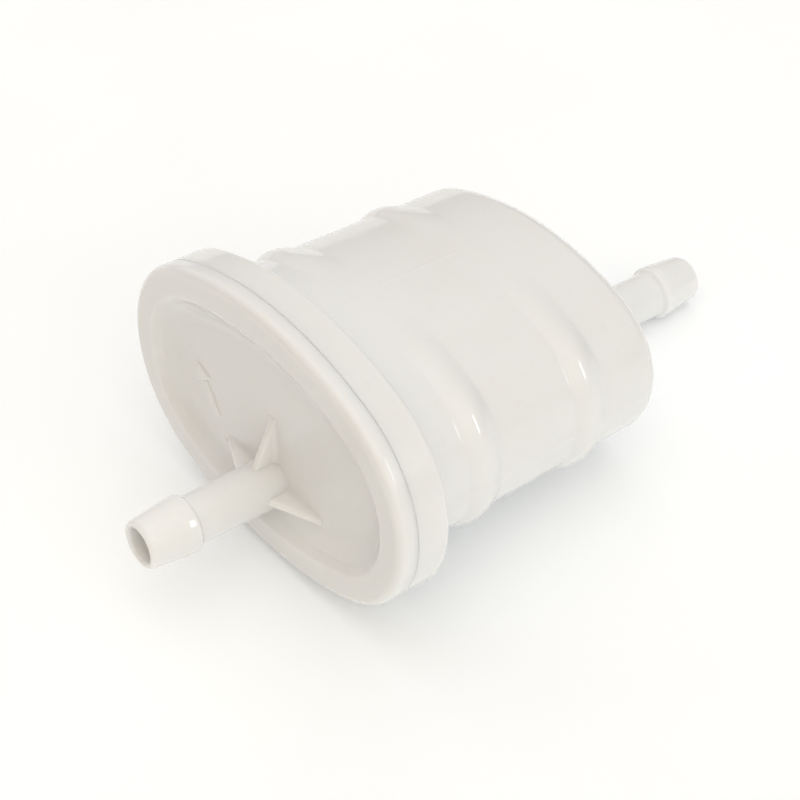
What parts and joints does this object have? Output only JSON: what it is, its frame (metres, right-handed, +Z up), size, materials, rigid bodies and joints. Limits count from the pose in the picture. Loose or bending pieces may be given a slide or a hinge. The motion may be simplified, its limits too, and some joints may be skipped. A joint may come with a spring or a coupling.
{
  "type": "fuel filter",
  "caption": "In-line fuel filter with an oval two-part plastic housing, a welded flange, beads round the body and barbed hose spigots on one low flow axis.",
  "frame": {"origin": "centre of the inlet spigot's end face, on the flow axis", "axes": "+X along the flow from inlet to outlet, Y across the housing's wide way, +Z up across its thin way; the flow axis runs low in the housing"},
  "size_m": [0.096, 0.0574, 0.0376],
  "materials": {
    "milky_plastic": "moulded translucent off-white plastic, softly glossy",
    "cartridge_plastic": "plain moulded natural plastic",
    "filter_paper": "resin-treated filter paper",
    "potting_glue": "cured amber adhesive",
    "gasket_rubber": "moulded fuel-resistant rubber"
  },
  "bodies": {
    "root": {"inlet_cap": "milky_plastic", "housing_cup": "milky_plastic", "inlet_end_plate": "cartridge_plastic", "outlet_end_plate": "cartridge_plastic", "pleated_paper": "filter_paper", "seam_strip": "potting_glue", "core_tube": "cartridge_plastic", "inlet_glue_bed": "potting_glue", "outlet_glue_bed": "potting_glue", "outlet_gasket": "gasket_rubber"}
  },
  "joints": []
}
